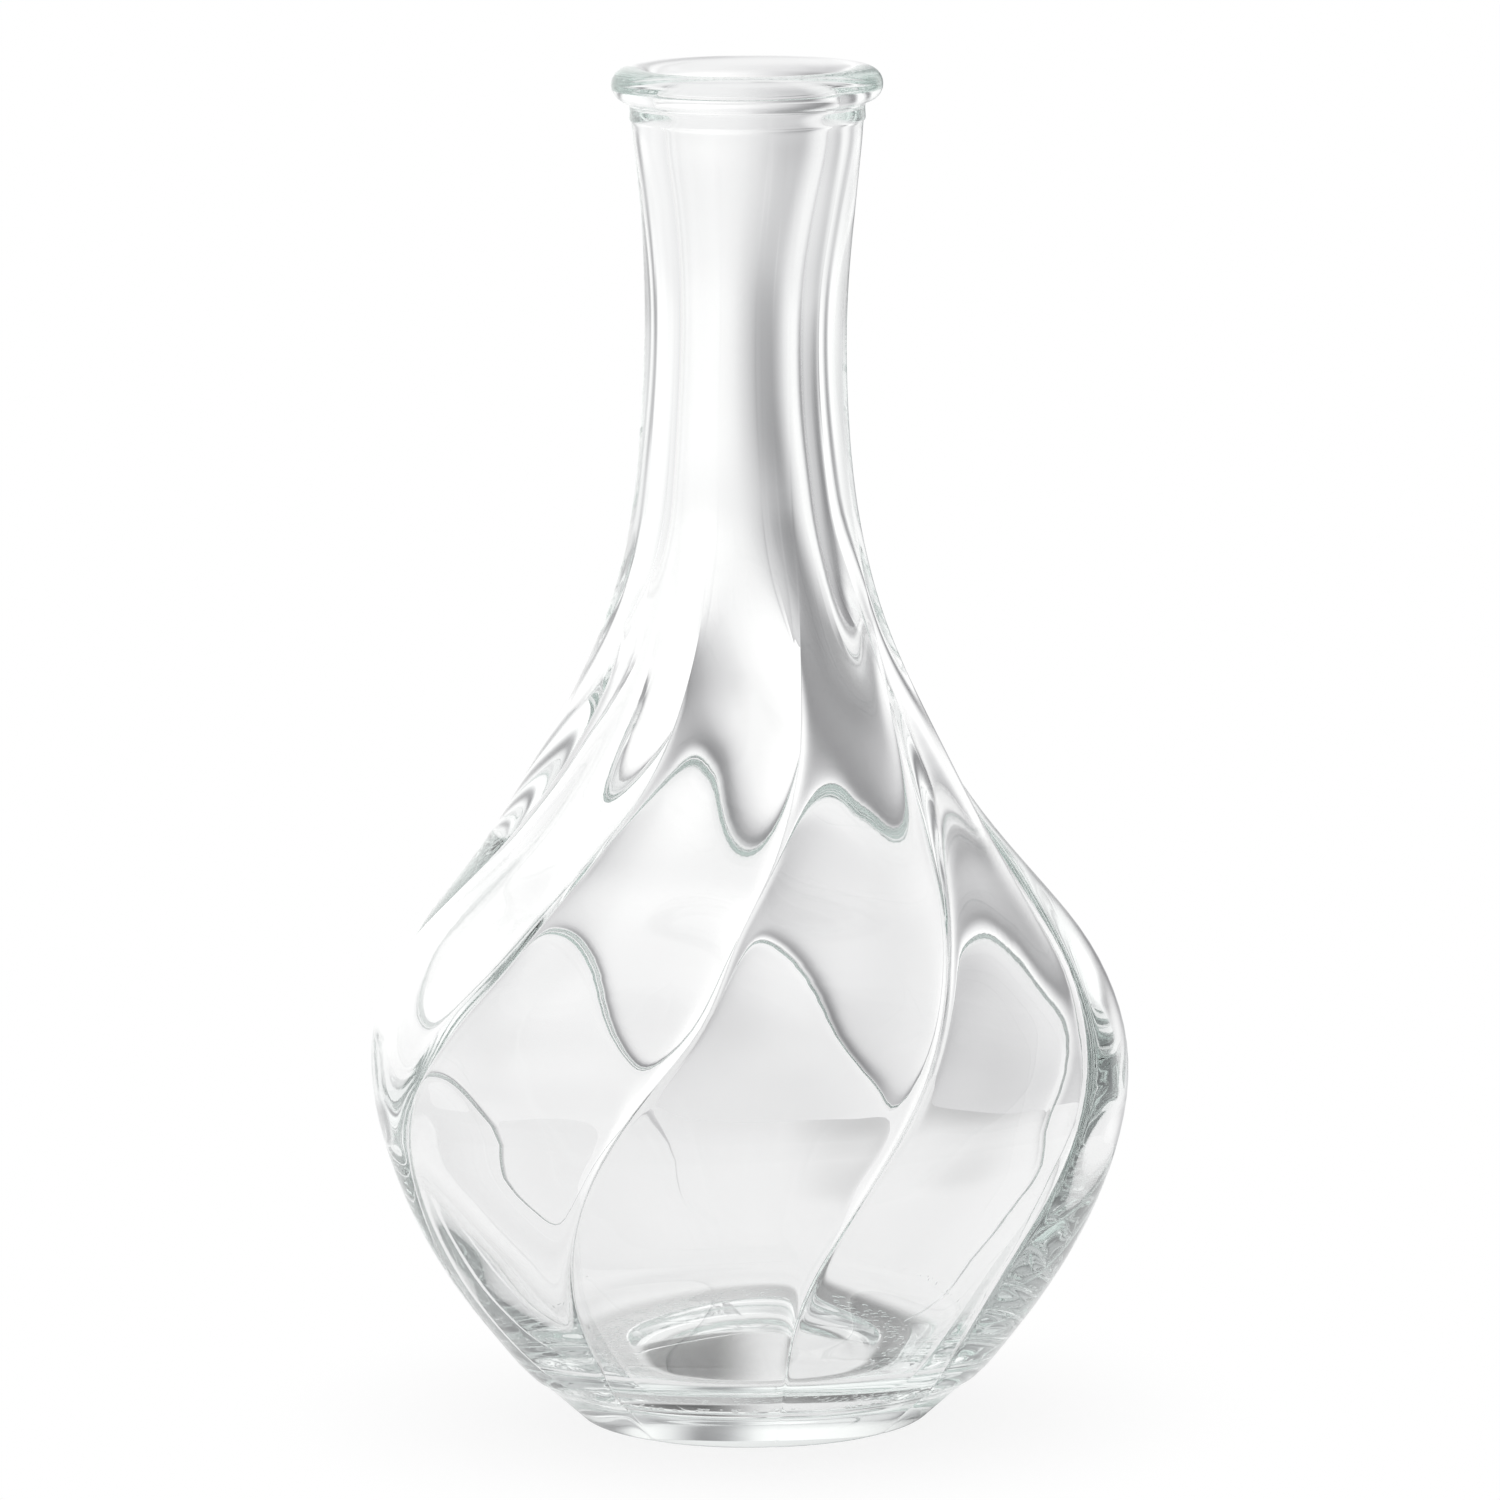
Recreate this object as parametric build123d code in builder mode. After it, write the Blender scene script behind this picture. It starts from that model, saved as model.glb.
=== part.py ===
"""Bottle vase: one moulded glass vessel with eight lobes that swirl up to a slender neck."""
import os
import math
from build123d import *

# Body, in millimetres: its widest part, and the shoulder from there to the top of the swirl
belly_radius = 50.2
belly_height = 47.5
shoulder_height = 68.5

# Foot, below the line where the bottom plate of the mould meets its two halves
foot_radius = 23.4
foot_edge_radius = 0.6
parting_height = 6.3
parting_radius = 29.9
parting_ledge = 0.2
push_up_radius = 17.4
push_up_depth = 4.2

# Swirled wall: lobes side by side, with a sharp valley between each two
lobe_count = 8
swirl_top_radius = 15.9
valley_depth = 2.6
swirl_turn = 57.5
first_valley_turn = -33.5
turn_lean = 1.15

# Neck, below and above its waist, collar and lip
lower_neck_height = 30.0
upper_neck_height = 27.0
waist_radius = 13.3
neck_top_radius = 15.0
collar_height = 2.4
collar_ledge = 0.3
lip_radius = 17.8
lip_height = 4.6
lip_crown_radius = 15.6

# Inside
belly_wall = 2.6
neck_wall = 5.5
floor_height = 7.6
floor_radius = 25.5
floor_rise = 1.6
mouth_radius = 12.2
mouth_flare = 1.3

# Wall of the body, as rings from the parting line up to the belly, from there to the top of
# the swirl, down to the waist of the neck and up to its collar. Each row is a share of the
# rise, of the swell in radius, of the deepest valley and of the extra wall that the neck has
heel_shares = [
    (0.00, 0.000, 0.10, 0.90),
    (0.09, 0.190, 0.14, 0.75),
    (0.19, 0.335, 0.18, 0.60),
    (0.33, 0.530, 0.22, 0.38),
    (0.50, 0.725, 0.24, 0.18),
    (0.67, 0.876, 0.24, 0.06),
    (0.84, 0.967, 0.24, 0.00),
]
shoulder_shares = [
    (0.00, 1.000, 0.24, 0.00),
    (0.095, 0.970, 0.26, 0.00),
    (0.18, 0.902, 0.32, 0.06),
    (0.27, 0.801, 0.44, 0.17),
    (0.36, 0.676, 0.62, 0.35),
    (0.445, 0.548, 0.88, 0.55),
    (0.53, 0.430, 1.00, 0.76),
    (0.62, 0.324, 0.95, 0.92),
    (0.71, 0.223, 0.75, 1.02),
    (0.80, 0.134, 0.45, 1.06),
    (0.88, 0.068, 0.20, 1.05),
]
lower_neck_shares = [
    (0.00, 1.00, 0.04, 1.00),
    (0.20, 0.60, 0.02, 1.05),
    (0.47, 0.26, 0.02, 1.03),
    (0.73, 0.07, 0.02, 1.00),
]
upper_neck_shares = [
    (0.00, 0.00, 0.02, 1.00),
    (0.30, 0.12, 0.02, 1.00),
    (0.60, 0.51, 0.02, 0.70),
    (0.82, 0.80, 0.02, 0.43),
    (1.00, 1.00, 0.02, 0.38),
]

swirl_top_height = belly_height + shoulder_height
waist_height = swirl_top_height + lower_neck_height
collar_base_height = waist_height + upper_neck_height
lip_base_height = collar_base_height + collar_height
height = lip_base_height + lip_height
collar_radius = neck_top_radius + collar_ledge


def stretch(shares, low_height, high_height, low_radius, high_radius):
    """Yield the height, crest radius, valley depth and wall of each ring of one stretch."""
    for rise, swell, depth, extra in shares:
        yield (
            low_height + (high_height - low_height) * rise,
            low_radius + (high_radius - low_radius) * swell,
            valley_depth * depth,
            belly_wall + (neck_wall - belly_wall) * extra,
        )


def valley_angle(level):
    """Angle of the first valley at a level: its turn starts and ends gently."""
    rise = (level - parting_height) / (swirl_top_height - parting_height)
    eased = min(rise, 1) ** turn_lean
    return first_valley_turn + swirl_turn * eased * eased * (3 - 2 * eased) - 90


def at(radius, angle):
    """Return the point at a radius and an angle in degrees."""
    return (radius * math.cos(math.radians(angle)), radius * math.sin(math.radians(angle)))


def lobed_outline(level, crest, depth):
    """Draw the lobes of one ring: an arc each, over its crest from valley to valley."""
    half_lobe = 180 / lobe_count
    start = valley_angle(level)
    for lobe in range(lobe_count):
        valley = start + 2 * half_lobe * lobe
        ThreePointArc(
            at(crest - depth, valley),
            at(crest, valley + half_lobe),
            at(crest - depth, valley + 2 * half_lobe),
        )


rings = [
    *stretch(heel_shares, parting_height, belly_height, parting_radius, belly_radius),
    *stretch(shoulder_shares, belly_height, swirl_top_height, swirl_top_radius, belly_radius),
    *stretch(lower_neck_shares, swirl_top_height, waist_height, waist_radius, swirl_top_radius),
    *stretch(upper_neck_shares, waist_height, collar_base_height, waist_radius, neck_top_radius),
]

with BuildPart() as glass_vase:
    # Swirled wall and neck, lofted through their rings
    for level, crest, depth, wall in rings:
        with BuildSketch(Plane.XY.offset(level)):
            with BuildLine():
                lobed_outline(level, crest, depth)
            make_face()
    loft()

    # Foot: a plain cone down to a flat bearing ring round a push-up
    with BuildSketch(Plane.XZ):
        with BuildLine():
            Polyline(
                (0, push_up_depth),
                (0, parting_height),
                (parting_radius + parting_ledge, parting_height),
                (foot_radius, 0),
                (push_up_radius, 0),
            )
            TangentArc((0, push_up_depth), (push_up_radius, 0), tangent=(1, 0))
        make_face()
    revolve(axis=Axis.Z)

    # Collar and lip, round a mouth that flares into the rim
    with BuildSketch(Plane.XZ):
        with BuildLine():
            Polyline(
                (0, lip_base_height),
                (0, collar_base_height),
                (collar_radius, collar_base_height),
                (collar_radius, lip_base_height),
            )
            Spline(
                (collar_radius, lip_base_height),
                (lip_radius, height - lip_height / 2),
                (lip_crown_radius, height),
                tangents=((1, 0), (-1, 0)),
            )
            Polyline(
                (lip_crown_radius, height),
                (mouth_radius + mouth_flare, height),
                (mouth_radius, height - mouth_flare),
                (mouth_radius, lip_base_height),
                (0, lip_base_height),
            )
        make_face()
    revolve(axis=Axis.Z)

    # Inside, from the floor up to the mouth
    with BuildSketch(Plane.XY.offset(floor_height)):
        Circle(floor_radius)
    for level, crest, depth, wall in rings:
        if level > floor_height + floor_rise:
            with BuildSketch(Plane.XY.offset(level)):
                Circle(crest - wall)
    with BuildSketch(Plane.XY.offset(lip_base_height)):
        Circle(mouth_radius)
    loft(mode=Mode.SUBTRACT)

    # Middle of the floor, raised over the push-up
    with BuildSketch(Plane.XZ):
        with BuildLine():
            floor_top = (0, floor_height + floor_rise)
            floor_edge = (push_up_radius, floor_height)
            TangentArc(floor_top, floor_edge, tangent=(1, 0))
            Polyline(floor_top, (0, floor_height), floor_edge)
        make_face()
    revolve(axis=Axis.Z)

    # Rounded edges of the ring that the vase stands on
    bearing_edges = glass_vase.edges().filter_by(GeomType.CIRCLE).group_by(Axis.Z)[0]
    fillet(bearing_edges, radius=foot_edge_radius)

glass_vase.part.label = "glass_vase"

os.makedirs("parts", exist_ok=True)
export_step(glass_vase.part, "parts/glass_vase.step")
print("solids", len(glass_vase.part.solids()), "volume", glass_vase.part.volume)
print("box", glass_vase.part.bounding_box())
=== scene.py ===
"""Looks of a clear moulded glass bottle vase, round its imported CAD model."""

import math

import bmesh
import bpy
import numpy as np
from mathutils import Matrix, Vector, noise


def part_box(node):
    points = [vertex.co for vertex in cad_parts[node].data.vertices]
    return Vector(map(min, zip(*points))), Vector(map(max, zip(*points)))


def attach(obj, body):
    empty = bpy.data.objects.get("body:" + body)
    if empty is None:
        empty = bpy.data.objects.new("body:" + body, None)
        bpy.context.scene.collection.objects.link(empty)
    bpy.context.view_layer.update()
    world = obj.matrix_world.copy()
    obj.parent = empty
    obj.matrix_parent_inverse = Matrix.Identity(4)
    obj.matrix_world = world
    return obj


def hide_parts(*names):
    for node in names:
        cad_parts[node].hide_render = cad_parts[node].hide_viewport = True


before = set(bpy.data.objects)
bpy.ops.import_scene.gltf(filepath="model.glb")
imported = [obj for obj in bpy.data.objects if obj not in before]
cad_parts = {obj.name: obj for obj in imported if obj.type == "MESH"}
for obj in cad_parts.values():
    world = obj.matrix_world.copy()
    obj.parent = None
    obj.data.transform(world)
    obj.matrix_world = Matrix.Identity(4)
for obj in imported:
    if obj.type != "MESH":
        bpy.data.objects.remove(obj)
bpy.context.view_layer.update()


# The vase: one piece of clear soda-lime glass, pressed and blown in a mould of two halves and
# a bottom plate. Its wall is thin at the belly and thick at the neck and the foot, and eight
# lobes with a sharp valley between each two climb the body in a right-handed swirl.
VASE_HEIGHT = 180
vase_low, vase_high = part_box("glass_vase")
UNIT = (vase_high.z - vase_low.z) / VASE_HEIGHT

# Half sections as (radius, height) in UNITs, in the order in which a line round the wall
# meets them: push-up, bearing ring and foot; body; collar and lip; bore, belly and floor
FOOT_SECTION = [
    (0, 4.20), (3, 4.12), (6, 3.78), (9, 3.18), (12, 2.32), (14.5, 1.38), (16.3, 0.62),
    (17.1, 0.22), (17.8, 0.03), (18.6, 0), (20.4, 0), (22.2, 0), (22.9, 0.06),
    (23.4, 0.32), (24.1, 1.0), (25.4, 2.15), (26.8, 3.4), (28.2, 4.65), (29.5, 5.65),
    (30.1, 6.05), (30.4, 6.2), (30.55, 6.33), (30.65, 6.48),
]
BODY_SECTION = [
    (31.2, 6.95), (32.0, 7.8), (33.0, 9.0), (34.2, 10.5), (35.6, 12.3), (37.5, 14.7), (39.55, 17.6),
    (41.8, 21.0), (43.9, 24.7), (45.85, 28.7), (47.6, 33.0), (49.0, 37.5), (50.05, 42.2),
    (50.45, 47.0), (50.1, 51.6), (49.0, 56.0), (47.3, 60.2), (45.0, 64.2), (42.1, 68.0),
    (38.95, 71.8), (35.9, 75.6), (33.15, 79.4), (30.8, 83.2), (28.5, 87.0), (26.3, 90.8),
    (24.05, 94.8), (21.95, 98.8), (20.1, 102.8), (18.5, 106.8), (17.2, 110.8),
    (16.15, 115.0), (15.2, 119.5), (14.5, 124.2), (14.0, 129.2), (13.65, 134.5),
    (13.35, 140.5), (13.25, 146.5), (13.45, 153.0), (13.95, 159.5), (14.5, 165.5),
    (15.0, 170.0), (15.15, 172.0), (15.2, 172.7),
]
LIP_SECTION = [
    (15.32, 172.95), (15.5, 173.15), (15.5, 173.5), (15.45, 174.2), (15.45, 174.9),
    (15.6, 175.25), (16.1, 175.5), (16.9, 175.8), (17.5, 176.4), (17.85, 177.2),
    (17.85, 178.1), (17.55, 178.9), (17.0, 179.5), (16.3, 179.87), (15.5, 180), (14.8, 180.02),
    (14.1, 179.95), (13.4, 179.7), (12.85, 179.2), (12.45, 178.5), (12.25, 177.6),
]
BORE_SECTION = [
    (12.2, 176.4), (12.0, 175.2), (11.5, 174.0), (11.1, 172.6), (10.9, 171.0),
    (10.5, 168.0), (10.0, 165.0), (9.4, 161.5), (8.9, 158.0), (8.4, 154.0), (8.1, 150.0),
    (8.0, 145.0), (8.1, 140.0), (8.35, 135.0), (8.75, 130.0), (9.25, 125.0), (9.8, 120.0),
    (10.8, 116.0), (12.1, 112.0), (13.8, 108.0), (15.7, 104.0), (17.8, 100.0), (20.2, 96.0),
    (22.6, 92.0), (25.1, 88.0), (27.8, 84.0), (30.5, 80.0), (33.4, 76.0), (36.4, 72.0),
    (39.4, 68.0), (42.4, 64.0), (44.9, 60.0), (46.8, 56.0), (48.0, 51.6), (48.3, 47.0),
    (47.5, 42.4), (46.7, 38.0), (45.3, 34.0), (43.5, 30.2), (41.5, 26.8), (39.3, 23.4),
    (37.0, 20.2), (34.5, 17.2), (32.1, 14.6), (30.0, 12.4), (27.9, 10.6), (25.6, 9.3),
    (23.0, 8.5), (20.0, 8.2), (16.5, 8.35), (12.5, 8.7), (8.5, 9.0), (4.5, 9.17), (0, 9.2),
]
# The line round the wall is inside once it has passed this radius at the mouth
MOUTH_RADIUS, MOUTH_HEIGHT = 12.3, 176.5
SECTION_STEPS = 2
SECTION_ORDER = 4
MERGE_GAP = 0.002

# The swirl, in UNITs and degrees. Rows are (height, value), and shares are of a depth
LOBES = 8
COLUMNS_PER_LOBE = 40
COLUMN_CROWDING = 0.14
SWIRL_LOW, SWIRL_HIGH = 6.3, 116.0
FIRST_VALLEY = -33.5
SWIRL_TURN = 57.5
TURN_LEAN = 1.15
VALLEY_DEPTH = 2.6
VALLEY_SHARES = [
    (6.3, 0.04), (12, 0.06), (20, 0.10), (34, 0.15), (50, 0.18), (58, 0.28), (66, 0.45),
    (72, 0.60), (78, 0.75), (84, 0.85), (90, 0.82), (96, 0.65), (102, 0.42), (108, 0.21),
    (114, 0.08), (120, 0.02), (126, 0),
]
# How far each valley strays from its even place
VALLEY_STRAYS = [
    [(6, -1.5), (25, -1.8), (40, -1.2), (50, 0), (60, 2), (72, -0.2), (80, 1.5), (92, 2.8),
     (104, 1.6), (118, 1)],
    [(6, -5), (25, -5), (38, -2.7), (50, -1.4), (66, -1.3), (75, 0.5), (85, 2), (97, 3.5), (118, 4)],
    [(6, -8.5), (25, -9.5), (38, -7), (50, -8), (60, -9.5), (71, -9.5), (80, -6), (95, -4),
     (118, -4)],
    [(6, 8), (34, 8.5), (47, 6), (60, 7), (75, 9), (87, 6), (118, 4)],
    [(6, 6), (37, 7), (45, 9), (55, 9.5), (80, 4), (118, 2)],
    [(6, 1), (41, 1.5), (50, 0), (80, 0), (118, 0)],
    [(6, -4), (20, -4.5), (36, -5), (60, 3), (84, 7), (118, 4)],
    [(6, 5), (28, 3), (44, 1.5), (55, 3), (65, 3.2), (73, 1), (81, 0.8), (89, 2.2), (102, 2.5),
     (118, 3)],
]
# A lobe's crest lies at this share of its width. Towards the neck its valleys grow soft
CREST_SHARE = 0.43
CREST_POINT = 1.8
SOFT_VALLEY_LOW, SOFT_VALLEY_HIGH = 93, 107
INSIDE_SHARE = 0.35
# A narrow crease runs down the bottom of each valley, with one flank steeper than the other
CREASE_DEPTH = 0.6
STEEP_FLANK, FLAT_FLANK = 0.6, 1.7
CREASE_WIDTHS = [(6.3, 0.45), (40, 0.5), (60, 0.6), (84, 0.8), (120, 1.0)]
CREASE_SHARES = [
    (6.3, 0.2), (14, 0.4), (24, 0.55), (38, 0.9), (46, 1.2), (54, 1.5), (62, 1.4), (72, 1.1),
    (84, 0.9), (94, 0.5), (102, 0.2), (110, 0),
]
# Sideways lean of the whole vase, and of its bore within the neck
AXIS_SHIFTS = [
    (0, -0.2), (8, -0.15), (20, -0.3), (34, -0.3), (45, -0.45), (60, -0.85), (80, -1.05),
    (100, -0.85), (120, -0.65), (135, -0.6), (150, -0.3), (162, 0), (180, 0),
]
BORE_SHIFTS = [
    (0, 0), (112, 0), (124, -0.2), (140, -0.35), (156, -0.3), (166, -0.1), (172, 0), (180, 0),
]
# Waves left by the mould and the blowing, outside and inside, and where they set in and end
OUTER_WAVE, INNER_WAVE = 0.03, 0.10
WAVE_LENGTH, WAVE_HEIGHT = 8, 20
INNER_WAVE_OFFSET = 40
WAVE_START, WAVE_FULL = 8, 42
WAVE_FADE, WAVE_END = 164, 172
CALM_RADIUS, WAVY_RADIUS = 4, 10
DEEPEST_SHARE = 0.5


def draw_half_section(points, name):
    """Return a mesh of edges along a smooth curve through a half section's points."""
    curve = bpy.data.curves.new(name, "CURVE")
    curve.dimensions = "3D"
    spline = curve.splines.new("NURBS")
    spline.points.add(len(points) - 1)
    for point, (radius, height) in zip(spline.points, points):
        point.co = (radius * UNIT, 0, height * UNIT, 1)
    spline.order_u = SECTION_ORDER
    spline.use_endpoint_u = True
    spline.resolution_u = SECTION_STEPS
    holder = bpy.data.objects.new(name, curve)
    mesh = bpy.data.meshes.new_from_object(holder)
    bpy.data.objects.remove(holder)
    return mesh


def read_curve(rows, at):
    """Read given (place, value) rows at given places, along a smooth curve."""
    places, values = np.array(rows).T
    slopes = np.gradient(values, places)
    at = np.clip(at, places[0], places[-1])
    low = np.clip(np.searchsorted(places, at) - 1, 0, len(places) - 2)
    width = places[low + 1] - places[low]
    t = (at - places[low]) / width
    start = values[low] * (1 + 2 * t) + slopes[low] * width * t
    end = values[low + 1] * (3 - 2 * t) - slopes[low + 1] * width * (1 - t)
    return start * (1 - t) ** 2 + end * t * t


def rise_between(values, low, high):
    """Rise evenly from 0 at one value to 1 at another."""
    return np.clip((values - low) / (high - low), 0, 1)


def swirl_angle(height):
    """Turn of the first valley at a height, in radians from the front."""
    rise = rise_between(height, SWIRL_LOW, SWIRL_HIGH) ** TURN_LEAN
    return np.radians(FIRST_VALLEY + SWIRL_TURN * rise * rise * (3 - 2 * rise))


# Plain round wall, spun from its half section
section = draw_half_section(FOOT_SECTION + BODY_SECTION + LIP_SECTION + BORE_SECTION, "half_section")
shell = bmesh.new()
shell.from_mesh(section)
inside_layer = shell.verts.layers.float.new("inside")
passed_mouth = False
for point in shell.verts:
    at_mouth = point.co.x < MOUTH_RADIUS * UNIT and point.co.z > MOUTH_HEIGHT * UNIT
    passed_mouth = passed_mouth or at_mouth
    point[inside_layer] = float(passed_mouth)
bmesh.ops.spin(
    shell,
    geom=shell.verts[:] + shell.edges[:],
    axis=(0, 0, 1),
    cent=(0, 0, 0),
    angle=math.tau,
    steps=LOBES * COLUMNS_PER_LOBE,
    use_merge=True,
)
bmesh.ops.remove_doubles(shell, verts=shell.verts[:], dist=MERGE_GAP * UNIT)
bmesh.ops.recalc_face_normals(shell, faces=shell.faces[:])
for face in shell.faces:
    face.smooth = True

places = np.array([point.co for point in shell.verts]) / UNIT
is_inside = np.array([point[inside_layer] for point in shell.verts]) > 0.5
radius = np.hypot(places[:, 0], places[:, 1])
height = places[:, 2]

# Columns crowd at the valleys, which lie at the whole numbers of a column's lobe
column_lobe = np.arctan2(places[:, 1], places[:, 0]) / math.tau * LOBES
lobe = np.floor(column_lobe)
lobe_share = column_lobe - lobe
lobe_share -= COLUMN_CROWDING * np.sin(math.tau * lobe_share)

# A lobe's outline: a round crest that leans to one side, between two sharp valleys
lean = math.log(0.5) / math.log(CREST_SHARE)
sharp_lobe = np.abs(2 * lobe_share ** lean - 1) ** CREST_POINT
soft_lobe = 0.5 + 0.5 * np.cos(math.tau * lobe_share)
softness = rise_between(height, SOFT_VALLEY_LOW, SOFT_VALLEY_HIGH)
valley_distance = np.minimum(lobe_share, 1 - lobe_share) * radius * math.tau / LOBES
flank = read_curve(CREASE_WIDTHS, height) * np.where(lobe_share < 0.5, STEEP_FLANK, FLAT_FLANK)
crease = CREASE_DEPTH * read_curve(CREASE_SHARES, height) * np.exp(-valley_distance / flank)
valley = VALLEY_DEPTH * read_curve(VALLEY_SHARES, height)
outer_depth = valley * (sharp_lobe * (1 - softness) + soft_lobe * softness) + crease
depth = np.where(is_inside, valley * INSIDE_SHARE * soft_lobe, outer_depth)

wave = np.array([
    noise.noise((x / WAVE_LENGTH, y / WAVE_LENGTH, z / WAVE_HEIGHT + INNER_WAVE_OFFSET * inner))
    for (x, y, z), inner in zip(places.tolist(), is_inside.tolist())
])
wave *= np.where(is_inside, INNER_WAVE, OUTER_WAVE)
wave *= rise_between(radius, CALM_RADIUS, WAVY_RADIUS)
wave *= rise_between(height, WAVE_START, WAVE_FULL) * (1 - rise_between(height, WAVE_FADE, WAVE_END))
depth += wave
radius = np.maximum(radius - np.minimum(depth, radius * DEEPEST_SHARE), 0)

# Each valley turns with the swirl and strays, and the lobe between two valleys follows both
strays = np.array([read_curve(rows, height) for rows in VALLEY_STRAYS])
point_number = np.arange(len(height))
first_valley = lobe.astype(int) % LOBES
next_valley = (first_valley + 1) % LOBES
stray = strays[first_valley, point_number] * (1 - lobe_share)
stray += strays[next_valley, point_number] * lobe_share
angle = (lobe + lobe_share) * math.tau / LOBES - math.pi / 2
angle += swirl_angle(height) + np.radians(stray)
places = np.stack([radius * np.cos(angle), radius * np.sin(angle), height], 1)
places[:, 0] += read_curve(AXIS_SHIFTS, height)
places[:, 0] += np.where(is_inside, read_curve(BORE_SHIFTS, height), 0)
for point, place in zip(shell.verts, places * UNIT):
    point.co = place

vase_mesh = bpy.data.meshes.new("vase_glass")
shell.to_mesh(vase_mesh)
shell.free()
vase = bpy.data.objects.new("vase_glass", vase_mesh)
bpy.context.scene.collection.objects.link(vase)


class Value:
    """A number, colour or place in a material, on which sums are written as they are read."""

    def __init__(self, socket):
        self.socket = socket

    @classmethod
    def node(cls, tree, kind, settings=None, inputs=None, output=0):
        """Add a node with its settings and inputs, and return one of its outputs."""
        added = tree.nodes.new(kind)
        for name, setting in (settings or {}).items():
            setattr(added, name, setting)
        for name, value in (inputs or {}).items():
            if isinstance(value, Value):
                tree.links.new(value.socket, added.inputs[name])
            else:
                added.inputs[name].default_value = value
        return cls(added.outputs[output])

    def parts(self):
        """Split a place into its three numbers."""
        split = Value.node(self.socket.id_data, "ShaderNodeSeparateXYZ", inputs={"Vector": self})
        return [Value(output) for output in split.socket.node.outputs]

    def colour(self, red_share=1, green_share=1):
        """Make a colour of this brightness, with a share of its red and green."""
        inputs = {"Red": self * red_share, "Green": self * green_share, "Blue": self}
        return Value.node(self.socket.id_data, "ShaderNodeCombineColor", inputs=inputs)

    def maths(self, operation, *others):
        """Add a Math node on this value and others."""
        inputs = dict(enumerate((self, *others)))
        return Value.node(self.socket.id_data, "ShaderNodeMath", {"operation": operation}, inputs)

    def feed(self, entry):
        """Link this value to a shader's socket."""
        self.socket.id_data.links.new(self.socket, entry)

    def __add__(self, other):
        return self.maths("ADD", other)

    __radd__ = __add__

    def __sub__(self, other):
        return self.maths("SUBTRACT", other)

    def __rsub__(self, other):
        return self * -1 + other

    def __mul__(self, other):
        return self.maths("MULTIPLY", other)

    __rmul__ = __mul__

    def __truediv__(self, other):
        return self.maths("DIVIDE", other)

    def __gt__(self, other):
        return self.maths("GREATER_THAN", other)

    def __lt__(self, other):
        return self.maths("LESS_THAN", other)

    def fade(self, start, end):
        """Rise smoothly from 0 at one value to 1 at another, which may be the lower one."""
        settings = {"interpolation_type": "SMOOTHSTEP"}
        inputs = {"Value": self, "From Min": start, "From Max": end}
        return Value.node(self.socket.id_data, "ShaderNodeMapRange", settings, inputs)

    def towards(self, other, share):
        """Go from this value to another by a share."""
        return self * (1 - share) + share * other


# Clear glass. Its green tint only shows where light runs far along inside the wall
GLASS_IOR = 1.52
GLASS_TINT = (0.90, 0.97, 0.945, 1)
TINT_DENSITY = 7

glass = bpy.data.materials.new("clear_glass")
glass.use_nodes = True
tree = glass.node_tree
shader = tree.nodes["Principled BSDF"]
shader.inputs["Base Color"].default_value = (1, 1, 1, 1)
shader.inputs["Roughness"].default_value = 0
shader.inputs["IOR"].default_value = GLASS_IOR
shader.inputs["Transmission Weight"].default_value = 1
tint = Value.node(
    tree, "ShaderNodeVolumeAbsorption", inputs={"Color": GLASS_TINT, "Density": TINT_DENSITY}
)
tint.feed(tree.nodes["Material Output"].inputs["Volume"])

# Fine dots, in UNITs, on the ring that the vase stands on and along the bottom plate's joint
DOTS_PER_UNIT = 0.9
DOT_HEIGHT = 0.12
DOT_EDGE, DOT_TOP = 0.45, 0.1
RING_INSIDE, RING_OUTSIDE = (17.2, 17.8), (23, 22.4)
RING_TOP = 0.4
JOINT_LOW, JOINT_HIGH = (6.5, 6.7), (7.2, 7.0)
JOINT_RADIUS = 30.5
JOINT_SHARE = 0.6

spot = Value.node(tree, "ShaderNodeTexCoord", output="Object")
across, along, up = (number * (1 / UNIT) for number in spot.parts())
from_axis = (across * across + along * along).maths("SQRT")
on_ring = from_axis.fade(*RING_INSIDE) * from_axis.fade(*RING_OUTSIDE) * (up < RING_TOP)
on_joint = up.fade(*JOINT_LOW) * up.fade(*JOINT_HIGH) * (from_axis > JOINT_RADIUS)
dots = Value.node(
    tree, "ShaderNodeTexVoronoi", inputs={"Vector": spot, "Scale": DOTS_PER_UNIT / UNIT}
)
stipple = dots.fade(DOT_EDGE, DOT_TOP) * (on_ring + on_joint * JOINT_SHARE)
stippled = Value.node(
    tree,
    "ShaderNodeBump",
    inputs={"Height": stipple, "Distance": DOT_HEIGHT * UNIT, "Strength": 1},
    output="Normal",
)
stippled.feed(shader.inputs["Normal"])
vase_mesh.materials.append(glass)

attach(vase, "root")
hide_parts("glass_vase")


# Table: a small round white top, just clear of the vase's foot. To the camera it is as white as
# the page, but for a soft shadow round the foot. To the glass it is a little darker, with painted
# shades under the bearing ring, under the left of the push-up and far out at the grey gap.
TABLE_RADIUS = 150
TABLE_GAP = 0.04
TABLE_SEGMENTS = 96
TABLE_ROUGHNESS = 0.9
SHADOW_SHARE = 0.15
SHADOW_END, SHADOW_START = 70, 20
SHADOW_DIM = 0.86
RING_SHADE_INSIDE, RING_SHADE_OUTSIDE = (16.5, 18), (27, 22.5)
RING_SHADE_SIDES = (-4, 12)
RING_SHADE_LEFT, RING_SHADE_EXTRA = 0.4, 0.4
PUSH_UP_EDGE = (17.5, 15.5)
PUSH_UP_SIDES = (3, -7)
PUSH_UP_SHADE = 0.92
GAP_LEFT, GAP_RIGHT = (0.02, 0.12), (0.40, 0.22)
GAP_DISTANCES = (108, 148)
GAP_SHADE = 0.36
LIT_THROUGH_GLASS, GLOW_THROUGH_GLASS = 0.25, 0.76

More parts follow.
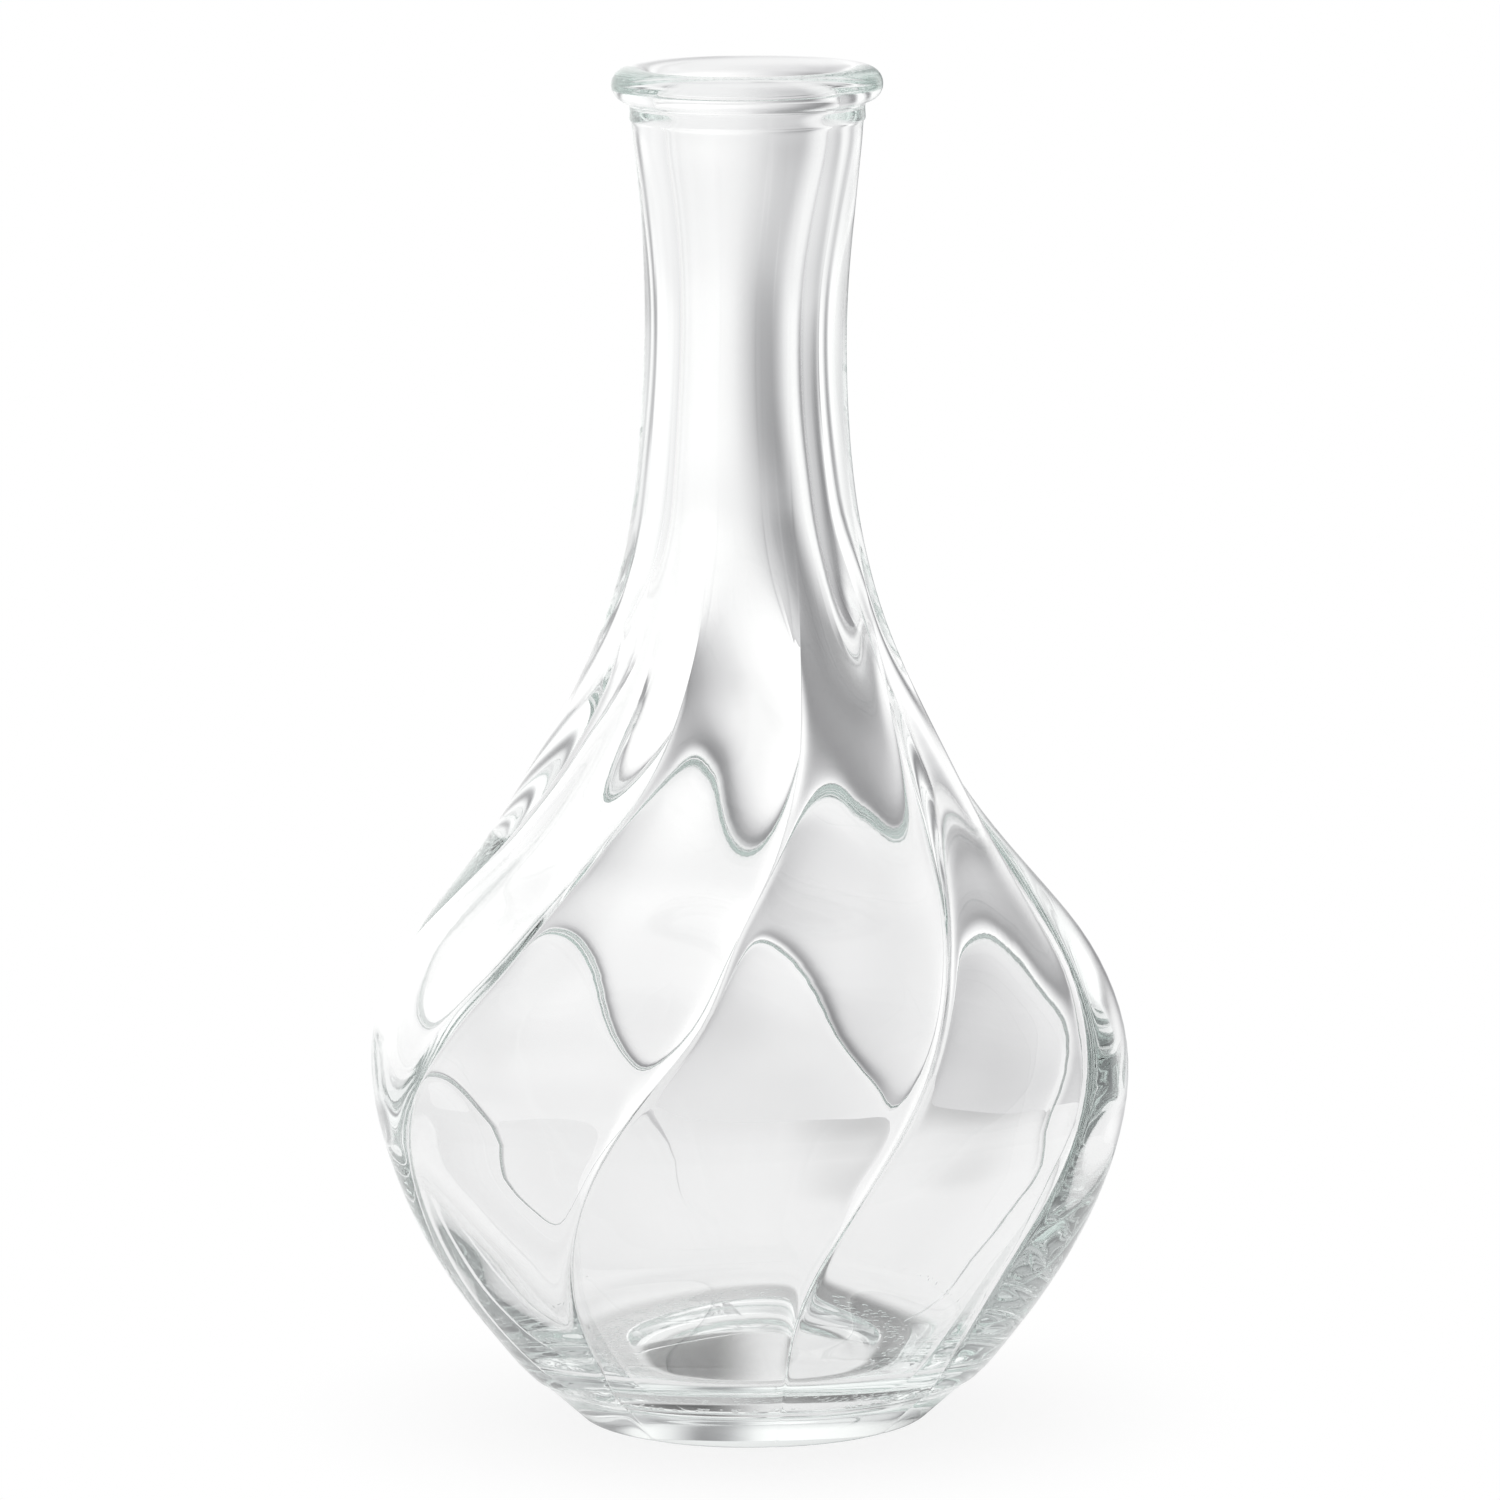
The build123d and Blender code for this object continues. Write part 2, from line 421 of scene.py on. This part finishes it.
table_shape = bmesh.new()
bmesh.ops.create_circle(
    table_shape,
    cap_ends=True,
    segments=TABLE_SEGMENTS,
    radius=TABLE_RADIUS * UNIT,
    matrix=Matrix.Translation((0, 0, -TABLE_GAP * UNIT)),
)
table_mesh = bpy.data.meshes.new("table_top")
table_shape.to_mesh(table_mesh)
table_shape.free()
table = bpy.data.objects.new("table_top", table_mesh)
bpy.context.scene.collection.objects.link(table)

white = bpy.data.materials.new("white_top")
white.use_nodes = True
tree = white.node_tree
paint = tree.nodes["Principled BSDF"]
paint.inputs["Roughness"].default_value = TABLE_ROUGHNESS
paint.inputs["Specular IOR Level"].default_value = 0
paint.inputs["Emission Strength"].default_value = 1
spot = Value.node(tree, "ShaderNodeTexCoord", output="Object")
across, along = (number * (1 / UNIT) for number in spot.parts()[:2])
from_axis = (across * across + along * along).maths("SQRT")
seen = Value.node(tree, "ShaderNodeLightPath", output="Is Camera Ray")
near_foot = from_axis.fade(SHADOW_END, SHADOW_START)
# Painted shades that only the glass sees: they darken the table's colour and glow under the bearing
# ring, under the left of the push-up and at the grey gap
ring_shade = from_axis.fade(*RING_SHADE_INSIDE) * from_axis.fade(*RING_SHADE_OUTSIDE)
ring_shade = ring_shade * (across.fade(*RING_SHADE_SIDES) * RING_SHADE_EXTRA + RING_SHADE_LEFT)
left_shade = from_axis.fade(*PUSH_UP_EDGE) * across.fade(*PUSH_UP_SIDES) * PUSH_UP_SHADE
gap_side = across / along
gap_shade = gap_side.fade(*GAP_LEFT) * gap_side.fade(*GAP_RIGHT) * (along > 0)
gap_shade = gap_shade * from_axis.fade(*GAP_DISTANCES) * GAP_SHADE
open_share = 1 - ring_shade - left_shade - gap_shade
through_glass = (1 - seen) * open_share
lit = near_foot * SHADOW_SHARE * seen + through_glass * LIT_THROUGH_GLASS
glow = seen * (1 - near_foot * SHADOW_SHARE * SHADOW_DIM) + through_glass * GLOW_THROUGH_GLASS
lit.colour().feed(paint.inputs["Base Color"])
glow.colour().feed(paint.inputs["Emission Color"])
table_mesh.materials.append(white)


# Studio: white to the camera. To the glass it is a white room with a soft grey gap behind the
# right of the vase, grey corners at the sides and a dim front.
# Rows of the walls are (degrees from straight behind the vase, brightness)
STUDIO_WALLS = [
    (-180, 0.16), (-152, 0.22), (-134, 0.50), (-104, 0.60), (-90, 0.20), (-80, 0.40),
    (-70, 0.84), (-50, 1.05), (-34, 1.12), (-5, 1.16), (-2, 1.10), (0, 1.0), (3, 0.72),
    (6, 0.43), (8, 0.34), (11, 0.28), (13, 0.34), (15, 0.54), (19, 0.88), (25, 1.15),
    (32, 1.12), (36, 0.75), (41, 0.32), (46, 0.30), (56, 0.58), (68, 0.66), (82, 0.26),
    (98, 0.16), (126, 0.36), (154, 0.20), (180, 0.16),
]
# How the walls change with height: (degrees up where it sets in and is full, brightness that
# they go towards, share). Low walls, high walls, ceiling, room below the table, its floor
STUDIO_LEVELS = [
    ((-4, -12.5), 0.8475, 0.59),
    ((12, 24), 0, 0.12),
    ((46, 64), 0.72, 1),
    ((-17, -34), 0.93, 0.75),
    ((-34, -72), 0, 0.5),
]
# How much red and green the shades lose, so that they look a little lilac
SHADE_RED, SHADE_GREEN = 0.03, 0.035
LIGHT_BOUNCES = 64

world = bpy.data.worlds.new("studio")
bpy.context.scene.world = world
world.use_nodes = True
tree = world.node_tree
direction = Value.node(tree, "ShaderNodeTexCoord", output="Generated")
across, along, up = direction.parts()
turn = across.maths("ARCTAN2", along) * (1 / math.tau) + 0.5
elevation = up.maths("ARCSINE") * math.degrees(1)
brightness = Value.node(tree, "ShaderNodeValToRGB", inputs={"Fac": turn})
stops = brightness.socket.node.color_ramp.elements
for number, (degrees, value) in enumerate(STUDIO_WALLS):
    share = degrees / 360 + 0.5
    stop = stops[number] if share in (0, 1) else stops.new(share)
    stop.position = share
    stop.color = (value, value, value, 1)
for (start, full), value, share in STUDIO_LEVELS:
    brightness = brightness.towards(value, elevation.fade(start, full) * share)
seen = Value.node(tree, "ShaderNodeLightPath", output="Is Camera Ray")
brightness = brightness.towards(1, seen)
shade = 1 - brightness
lilac = brightness.colour(1 - shade * SHADE_RED, 1 - shade * SHADE_GREEN)
lilac.feed(tree.nodes["Background"].inputs["Color"])

cycles = bpy.context.scene.cycles
cycles.max_bounces = LIGHT_BOUNCES
cycles.transmission_bounces = LIGHT_BOUNCES
cycles.glossy_bounces = LIGHT_BOUNCES


# Camera: a long lens in front of the vase, above it and looking down a little. Its place is
# in metres, and its angles are in degrees.
CAMERA_PLACE = Vector((0, -1.3195, 0.30705))
CAMERA_PITCH = 9.37
CAMERA_TURN = 0.008
CAMERA_ROLL = -0.38
SENSOR_WIDTH = 36
LENS = 242.6

camera_data = bpy.data.cameras.new("camera")
camera_data.sensor_width = SENSOR_WIDTH
camera_data.lens = LENS
camera = bpy.data.objects.new("camera", camera_data)
camera.matrix_world = (
    Matrix.Translation(CAMERA_PLACE)
    @ Matrix.Rotation(math.radians(CAMERA_TURN), 4, "Z")
    @ Matrix.Rotation(math.radians(90 - CAMERA_PITCH), 4, "X")
    @ Matrix.Rotation(math.radians(CAMERA_ROLL), 4, "Z")
)
bpy.context.scene.collection.objects.link(camera)
bpy.context.scene.camera = camera
bpy.context.scene.view_settings.view_transform = "Standard"
